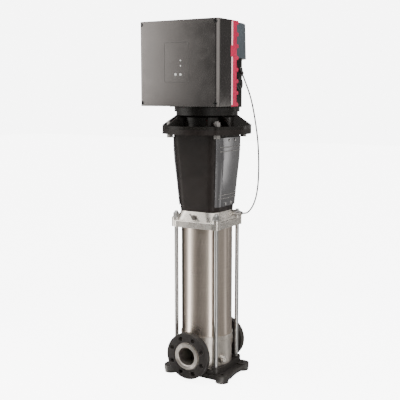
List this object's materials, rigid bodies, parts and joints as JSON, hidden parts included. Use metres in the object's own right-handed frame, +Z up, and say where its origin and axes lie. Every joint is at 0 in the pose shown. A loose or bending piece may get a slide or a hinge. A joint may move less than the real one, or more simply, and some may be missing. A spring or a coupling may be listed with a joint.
{
  "type": "vertical multistage pump",
  "caption": "Vertical in-line multistage pump with flanged ports, steel sleeve, cast head and stool, and a motor with a control box on its front.",
  "frame": {"origin": "on the floor, at the centre of the base plate's bolt pattern, on the pump's axis", "axes": "+Z up along the shaft, Y along the ports with the suction port and the control box at -Y, +X to the side with the drain plug and the cable"},
  "size_m": [0.3967, 0.3892, 1.4],
  "materials": {
    "cast_black": "satin black enamel over cast iron",
    "cast_stainless": "satin cast stainless",
    "sleeve_steel": "drawn and brushed stainless",
    "fastener_steel": "bright zinc plated steel",
    "stage_steel": "pressed stainless",
    "shaft_steel": "ground stainless",
    "seal_rubber": "moulded rubber",
    "seal_carbon": "lapped carbon",
    "seal_ceramic": "lapped silicon carbide",
    "vent_steel": "turned stainless",
    "sensor_steel": "turned stainless",
    "cable_black": "smooth black jacket",
    "coupling_iron": "dark cast iron",
    "guard_steel": "grey stainless sheet",
    "motor_black": "satin black paint",
    "cowl_grey": "dark blue grey paint",
    "lamination": "stacked electrical steel",
    "copper": "varnished copper wire",
    "fan_plastic": "moulded plastic",
    "bearing_steel": "ground bearing steel",
    "sink_red": "satin red paint",
    "box_grey": "fine textured dark grey",
    "board_green": "solder mask",
    "panel_film": "smooth printed film",
    "button_grey": "soft touch key",
    "entry_black": "moulded black plastic"
  },
  "bodies": {
    "frame": {"base_plate": "cast_black", "pump_casing": "cast_stainless", "port_lock_rings": "sleeve_steel", "drain_plug": "fastener_steel", "outer_sleeve": "sleeve_steel", "sleeve_seals": "seal_rubber", "pump_head": "cast_stainless", "stay_bolts": "fastener_steel", "stay_bolt_nuts": "fastener_steel", "shaft_seal_seat": "seal_ceramic", "vent_body": "vent_steel", "sensor_body": "sensor_steel", "sensor_cable": "cable_black", "motor_stool": "cast_black", "stool_screws": "fastener_steel", "guard_right": "guard_steel", "guard_left": "guard_steel", "guard_screws": "fastener_steel", "motor_flange_bolts": "fastener_steel", "drive_end_shield": "motor_black", "motor_housing": "motor_black", "stator_core": "lamination", "end_windings": "copper", "rear_end_shield": "motor_black", "fan_cowl": "cowl_grey", "bearing_outer_rings": "bearing_steel", "heat_sink": "sink_red", "control_housing": "box_grey", "control_cover": "box_grey", "cover_screws": "entry_black", "circuit_board": "board_green", "panel_overlay": "panel_film", "blanking_plug": "entry_black", "cable_gland": "entry_black", "chamber_1": "stage_steel", "chamber_2": "stage_steel", "chamber_3": "stage_steel", "chamber_4": "stage_steel", "chamber_5": "stage_steel", "chamber_6": "stage_steel"},
    "rotor": {"pump_shaft": "shaft_steel", "shaft_seal_rotary": "seal_carbon", "coupling_halves": "coupling_iron", "coupling_screws": "fastener_steel", "motor_shaft": "shaft_steel", "rotor_core": "lamination", "cooling_fan": "fan_plastic", "bearing_inner_rings": "bearing_steel", "impeller_1": "stage_steel", "impeller_2": "stage_steel", "impeller_3": "stage_steel", "impeller_4": "stage_steel", "impeller_5": "stage_steel", "impeller_6": "stage_steel"},
    "suction_flange": {"suction_flange": "cast_black"},
    "discharge_flange": {"discharge_flange": "cast_black"},
    "vent_spindle": {"vent_spindle": "vent_steel"},
    "vent_lever": {"vent_lever": "vent_steel"},
    "button_up": {"button_up": "button_grey"},
    "button_down": {"button_down": "button_grey"}
  },
  "joints": [
    {"name": "rotor_turn", "type": "hinge", "parent": "frame", "child": "rotor", "pos_m": [0, 0, 0.82], "axis": [0, 0, 1], "continuous": true},
    {"name": "suction_flange_turn", "type": "hinge", "parent": "frame", "child": "suction_flange", "pos_m": [0, -0.144, 0.105], "axis": [0, 1, 0], "continuous": true},
    {"name": "discharge_flange_turn", "type": "hinge", "parent": "frame", "child": "discharge_flange", "pos_m": [0, 0.144, 0.105], "axis": [0, 1, 0], "continuous": true},
    {"name": "vent_rise", "type": "slide", "parent": "frame", "child": "vent_spindle", "axis": [0, -0.9487, 0.3162], "range_m": [0, 0.00225]},
    {"name": "vent_turn", "type": "hinge", "parent": "vent_spindle", "child": "vent_lever", "pos_m": [-0.001, -0.09567, 0.651], "axis": [0, -0.9487, 0.3162], "range_deg": [0, 540]},
    {"name": "button_up_press", "type": "slide", "parent": "frame", "child": "button_up", "axis": [0, 1, 0], "range_m": [0, 0.0008], "stiffness_N_per_m": 400},
    {"name": "button_down_press", "type": "slide", "parent": "frame", "child": "button_down", "axis": [0, 1, 0], "range_m": [0, 0.0008], "stiffness_N_per_m": 400}
  ],
  "couplings": [
    {"joint": "vent_rise", "follows": "vent_turn", "m_per_rad": 0.00023873}
  ]
}
